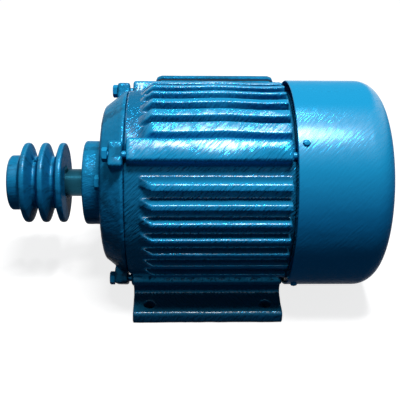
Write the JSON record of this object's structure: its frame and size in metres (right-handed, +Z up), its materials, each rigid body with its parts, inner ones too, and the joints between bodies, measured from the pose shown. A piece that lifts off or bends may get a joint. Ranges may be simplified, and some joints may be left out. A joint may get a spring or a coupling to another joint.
{
  "type": "electric motor",
  "caption": "Foot-mounted finned induction motor with a fan cowl, a side terminal box and a V-belt pulley on its shaft.",
  "frame": {"origin": "on the floor, at the middle of the box's footprint", "axes": "+X along the shaft from the pulley to the fan, +Y towards the terminal box, +Z up"},
  "size_m": [0.317, 0.2342, 0.1795],
  "materials": {
    "blue_cast_iron": "glossy enamel over cast iron",
    "blue_sheet_steel": "glossy enamel over sheet steel",
    "turned_steel": "turned",
    "bearing_steel": "ground",
    "spring_steel": "rolled",
    "painted_fasteners": "glossy enamel over steel screws",
    "zinc_fasteners": "zinc-plated",
    "core_laminations": "stacked sheet",
    "copper_winding": "varnished",
    "brass": "machined",
    "black_rubber": "moulded",
    "black_plastic": "moulded",
    "phenolic_board": "moulded"
  },
  "bodies": {
    "stator": {"frame": "blue_cast_iron", "drive_end_shield": "blue_cast_iron", "fan_end_shield": "blue_cast_iron", "inner_bearing_cover": "blue_cast_iron", "terminal_box": "blue_cast_iron", "terminal_box_lid": "blue_cast_iron", "fan_cowl": "blue_sheet_steel", "drive_bearing_outer_race": "bearing_steel", "fan_bearing_outer_race": "bearing_steel", "preload_spring": "spring_steel", "drive_bolt_upper_front": "painted_fasteners", "drive_bolt_lower_front": "painted_fasteners", "drive_bolt_upper_rear": "painted_fasteners", "drive_bolt_lower_rear": "painted_fasteners", "fan_bolt_upper_front": "painted_fasteners", "fan_bolt_lower_front": "painted_fasteners", "fan_bolt_upper_rear": "painted_fasteners", "fan_bolt_lower_rear": "painted_fasteners", "cowl_screw_upper_front": "painted_fasteners", "cowl_screw_lower_front": "painted_fasteners", "cowl_screw_upper_rear": "painted_fasteners", "cowl_screw_lower_rear": "painted_fasteners", "bearing_cover_screw_1": "painted_fasteners", "bearing_cover_screw_2": "painted_fasteners", "bearing_cover_screw_3": "painted_fasteners", "lid_screw_1": "painted_fasteners", "lid_screw_2": "painted_fasteners", "lid_screw_3": "painted_fasteners", "lid_screw_4": "painted_fasteners", "box_screw_1": "zinc_fasteners", "box_screw_2": "zinc_fasteners", "box_screw_3": "zinc_fasteners", "box_screw_4": "zinc_fasteners", "stator_core": "core_laminations", "winding_drive_end": "copper_winding", "winding_fan_end": "copper_winding", "terminal_link_1": "brass", "terminal_link_2": "brass", "terminal_link_3": "brass", "earth_screw": "brass", "shaft_seal": "black_rubber", "lid_gasket": "black_rubber", "cable_gland": "black_plastic", "cable_gland_cap": "black_plastic", "cable_gland_nut": "black_plastic", "terminal_board": "phenolic_board"},
    "rotor": {"shaft": "turned_steel", "pulley_key": "turned_steel", "pulley": "blue_cast_iron", "pulley_set_screw": "turned_steel", "rotor_core": "core_laminations", "fan": "black_plastic", "fan_circlip": "spring_steel", "drive_bearing_inner_race": "bearing_steel", "fan_bearing_inner_race": "bearing_steel"},
    "drive_cage": {"drive_bearing_cage": "bearing_steel"},
    "fan_cage": {"fan_bearing_cage": "bearing_steel"}
  },
  "joints": [
    {"name": "rotor_spin", "type": "hinge", "parent": "stator", "child": "rotor", "pos_m": [0.01255, -0.02762, 0.09], "axis": [1, 0, 0], "continuous": true},
    {"name": "drive_cage_spin", "type": "hinge", "parent": "stator", "child": "drive_cage", "pos_m": [0.01255, -0.02762, 0.09], "axis": [1, 0, 0], "continuous": true},
    {"name": "fan_cage_spin", "type": "hinge", "parent": "stator", "child": "fan_cage", "pos_m": [0.01255, -0.02762, 0.09], "axis": [1, 0, 0], "continuous": true}
  ],
  "couplings": [
    {"joint": "drive_cage_spin", "follows": "rotor_spin", "ratio": 0.3969},
    {"joint": "fan_cage_spin", "follows": "rotor_spin", "ratio": 0.3969}
  ]
}
